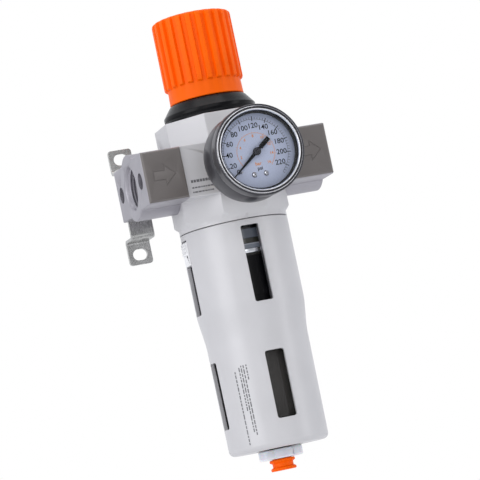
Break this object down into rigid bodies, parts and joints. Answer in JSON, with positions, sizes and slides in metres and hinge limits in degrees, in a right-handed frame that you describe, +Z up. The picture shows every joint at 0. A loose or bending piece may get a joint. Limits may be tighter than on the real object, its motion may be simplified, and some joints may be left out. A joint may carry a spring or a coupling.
{
  "type": "air filter regulator",
  "caption": "Compressed-air pressure regulator with filter bowl: ribbed knob, threaded ports, dial gauge, guarded bowl with drain, wall bracket.",
  "frame": {"origin": "centre of the inlet port's mouth", "axes": "+X along the ports towards the outlet, +Y towards the wall, +Z up along the knob and bowl"},
  "size_m": [0.116, 0.1365, 0.2815],
  "materials": {
    "painted_body": "satin silver-white paint on die-cast aluminium",
    "guard_paint": "satin silver-white paint on steel",
    "cast_block": "fine blasted die casting",
    "cover_panel": "warm grey moulded plastic, satin",
    "orange_plastic": "moulded orange plastic, semi-gloss",
    "black_plastic": "black moulded plastic, satin",
    "white_catch": "white moulded plastic",
    "clear_bowl": "clear polycarbonate, lightly smoked",
    "clear_collar": "translucent moulded plastic",
    "zinc_steel": "bright zinc-plated steel",
    "steel": "bright steel",
    "spring_steel": "oiled spring steel",
    "chrome_rim": "polished chrome",
    "dark_case": "dark grey satin paint on steel",
    "window_glass": "clear flat window",
    "dial_face": "bluish white printed aluminium",
    "black_paint": "matt black paint",
    "brass": "turned brass",
    "seal_rubber": "nitrile rubber",
    "sinter": "sintered polyethylene, chalky white",
    "bright_ring": "bright turned aluminium"
  },
  "bodies": {
    "housing": {"valve_body": "painted_body", "inlet_port_block": "cast_block", "outlet_port_block": "cast_block", "inlet_cover_panel": "cover_panel", "outlet_cover_panel": "cover_panel", "port_block_screws": "steel", "port_seals": "seal_rubber", "wall_bracket": "zinc_steel", "bracket_screws": "zinc_steel", "bonnet_ring": "black_plastic", "spring_bonnet": "black_plastic", "thrust_washer": "steel", "main_spring": "spring_steel", "diaphragm": "seal_rubber", "valve_seat_ring": "brass", "valve_spring": "spring_steel", "valve_guide": "black_plastic", "swirl_deflector": "black_plastic", "filter_element": "sinter", "filter_baffle": "black_plastic", "gauge_case": "dark_case", "gauge_bezel": "chrome_rim", "gauge_window": "window_glass", "gauge_gasket": "seal_rubber", "gauge_dial": "dial_face", "gauge_dial_screws": "steel", "gauge_stop_pin": "steel", "gauge_movement": "brass", "gauge_socket": "brass", "bourdon_tube": "brass", "gauge_thread_seal": "seal_rubber", "rear_port_plug": "brass", "plug_seal": "seal_rubber"},
    "screw": {"adjusting_screw": "steel"},
    "knob": {"adjusting_knob": "orange_plastic"},
    "nut": {"spring_nut": "brass"},
    "valve": {"diaphragm_top_plate": "zinc_steel", "diaphragm_bottom_plate": "brass", "valve_stem": "steel", "valve_poppet": "brass", "poppet_seal": "seal_rubber"},
    "pointer": {"gauge_pointer": "black_paint", "pinion_shaft": "steel"},
    "sector": {"sector_gear": "brass"},
    "bowl": {"bowl_guard": "guard_paint", "filter_bowl": "clear_bowl", "bowl_seal_ring": "seal_rubber", "bowl_top_ring": "bright_ring", "bowl_liner": "black_plastic", "drain_collar": "clear_collar", "lock_spring": "spring_steel"},
    "bowl_lock": {"bowl_lock_slide": "white_catch"},
    "drain_wheel": {"drain_knob": "orange_plastic"},
    "drain_valve": {"drain_stem": "black_plastic", "drain_seal_ring": "seal_rubber"}
  },
  "joints": [
    {"name": "screw_turn", "type": "hinge", "parent": "housing", "child": "screw", "pos_m": [0.058, 0, 0.09], "axis": [0, 0, -1], "range_deg": [0, 2700]},
    {"name": "knob_lift", "type": "slide", "parent": "screw", "child": "knob", "axis": [0, 0, 1], "range_m": [0, 0.004]},
    {"name": "nut_travel", "type": "slide", "parent": "housing", "child": "nut", "axis": [0, 0, -1], "range_m": [0, 0.01125], "deforming": ["main_spring"]},
    {"name": "valve_travel", "type": "slide", "parent": "housing", "child": "valve", "axis": [0, 0, -1], "range_m": [0, 0.0015], "stiffness_N_per_m": 900, "springref_m": -0.003, "deforming": ["diaphragm", "valve_spring"]},
    {"name": "pointer_turn", "type": "hinge", "parent": "housing", "child": "pointer", "pos_m": [0.058, -0.07, -0.001], "axis": [0, 1, 0], "range_deg": [0, 263.5]},
    {"name": "sector_turn", "type": "hinge", "parent": "housing", "child": "sector", "pos_m": [0.058, -0.0666, -0.012], "axis": [0, 1, 0], "range_deg": [-45, 0]},
    {"name": "bowl_turn", "type": "hinge", "parent": "housing", "child": "bowl", "pos_m": [0.058, 0, -0.03], "axis": [0, 0, 1], "range_deg": [0, 45]},
    {"name": "lock_slide", "type": "slide", "parent": "bowl", "child": "bowl_lock", "axis": [0, 0, -1], "range_m": [0, 0.005], "stiffness_N_per_m": 150, "springref_m": -0.005, "deforming": ["lock_spring"]},
    {"name": "drain_turn", "type": "hinge", "parent": "bowl", "child": "drain_wheel", "pos_m": [0.058, 0, -0.18], "axis": [0, 0, 1], "range_deg": [0, 360]},
    {"name": "drain_travel", "type": "slide", "parent": "bowl", "child": "drain_valve", "axis": [0, 0, 1], "range_m": [0, 0.001]}
  ],
  "couplings": [
    {"joint": "nut_travel", "follows": "screw_turn", "m_per_rad": 0.0002387},
    {"joint": "sector_turn", "follows": "pointer_turn", "ratio": -0.17021},
    {"joint": "drain_turn", "follows": "drain_travel", "rad_per_m": 6283}
  ]
}
